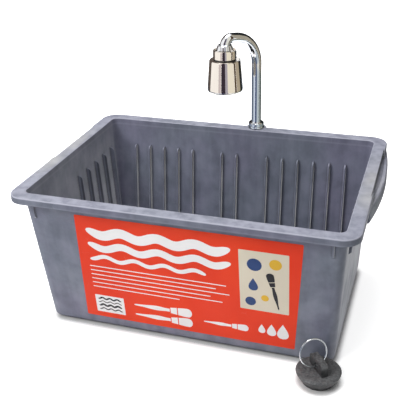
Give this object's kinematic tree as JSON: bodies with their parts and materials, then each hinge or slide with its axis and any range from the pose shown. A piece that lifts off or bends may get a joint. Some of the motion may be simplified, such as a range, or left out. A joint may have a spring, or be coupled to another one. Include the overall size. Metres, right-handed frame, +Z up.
{
  "type": "brush washer",
  "caption": "Grey plastic paint-brush washing tub with ribbed walls, hand grips and a printed front label, a turning gooseneck spray tap on the rim and a loose rubber stopper with a ring.",
  "frame": {"origin": "middle of the tub's underside, on the table", "axes": "+X along the tub's long side to the right seen from the label, +Y to the back where the tap stands, +Z up"},
  "size_m": [0.4778, 0.3655, 0.3675],
  "materials": {
    "tub": "moulded, fine-textured mid grey with a faint purple cast, scuffed",
    "front_label": "satin printed film, orange red with plain pale shapes",
    "stopper": "dark grey moulded rubber, dusty",
    "stopper_ring": "bright round wire",
    "tap_gasket": "black rubber",
    "tap_shank": "bright chrome, with a rolled thread",
    "tap_washer": "black rubber",
    "tap_lock_nut": "turned brass",
    "gland_nut": "bright chrome",
    "gland_ring": "white slippery plastic",
    "gooseneck": "bright chrome",
    "lower_neck_seal": "black rubber",
    "upper_neck_seal": "black rubber",
    "union_nut": "bright chrome",
    "union_seal": "black rubber",
    "ball_stem": "plated and polished brass",
    "ball_upper_seat": "white slippery plastic",
    "ball_cup": "white slippery plastic",
    "head_collar": "bright chrome",
    "glide_ring": "black plastic",
    "spray_core": "dark grey plastic",
    "flow_disc": "dark grey plastic",
    "spray_bell": "bright chrome with warm reflections",
    "spray_face": "grey plastic nozzle plate",
    "face_seal": "black rubber"
  },
  "bodies": {
    "tub_body": {"tub": "tub", "front_label": "front_label", "tap_gasket": "tap_gasket", "tap_shank": "tap_shank", "tap_washer": "tap_washer", "tap_lock_nut": "tap_lock_nut", "gland_nut": "gland_nut", "gland_ring": "gland_ring"},
    "neck": {"gooseneck": "gooseneck", "lower_neck_seal": "lower_neck_seal", "upper_neck_seal": "upper_neck_seal"},
    "union": {"union_nut": "union_nut", "union_seal": "union_seal", "ball_stem": "ball_stem"},
    "head": {"head_collar": "head_collar", "glide_ring": "glide_ring", "ball_upper_seat": "ball_upper_seat", "ball_cup": "ball_cup", "spray_core": "spray_core", "flow_disc": "flow_disc"},
    "bell": {"spray_bell": "spray_bell", "spray_face": "spray_face", "face_seal": "face_seal"},
    "stopper_body": {"stopper": "stopper"},
    "ring": {"stopper_ring": "stopper_ring"}
  },
  "joints": [
    {"name": "neck_turn", "type": "hinge", "parent": "tub_body", "child": "neck", "pos_m": [0.0264, 0.161, 0.213], "axis": [0, 0, 1], "continuous": true},
    {"name": "union_turn", "type": "hinge", "parent": "neck", "child": "union", "pos_m": [-0.00869, 0.11089, 0.33736], "axis": [0, 0, -1], "continuous": true},
    {"name": "head_tilt", "type": "hinge", "parent": "union", "child": "head", "pos_m": [-0.00869, 0.11089, 0.33736], "axis": [0.8192, -0.5736, 0], "range_deg": [-12, 12]},
    {"name": "bell_twist", "type": "hinge", "parent": "head", "child": "bell", "pos_m": [-0.00869, 0.11089, 0.30736], "axis": [0, 0, 1], "range_deg": [0, 90]},
    {"name": "stopper_lift", "type": "slide", "parent": "tub_body", "child": "stopper_body", "axis": [0.34, -0.52, 0.7836], "range_m": [0, 0.15]},
    {"name": "ring_swing", "type": "hinge", "parent": "stopper_body", "child": "ring", "pos_m": [0.19, -0.1595, 0.0255], "axis": [0.809, 0.5878, 0], "range_deg": [-10, 90]}
  ]
}
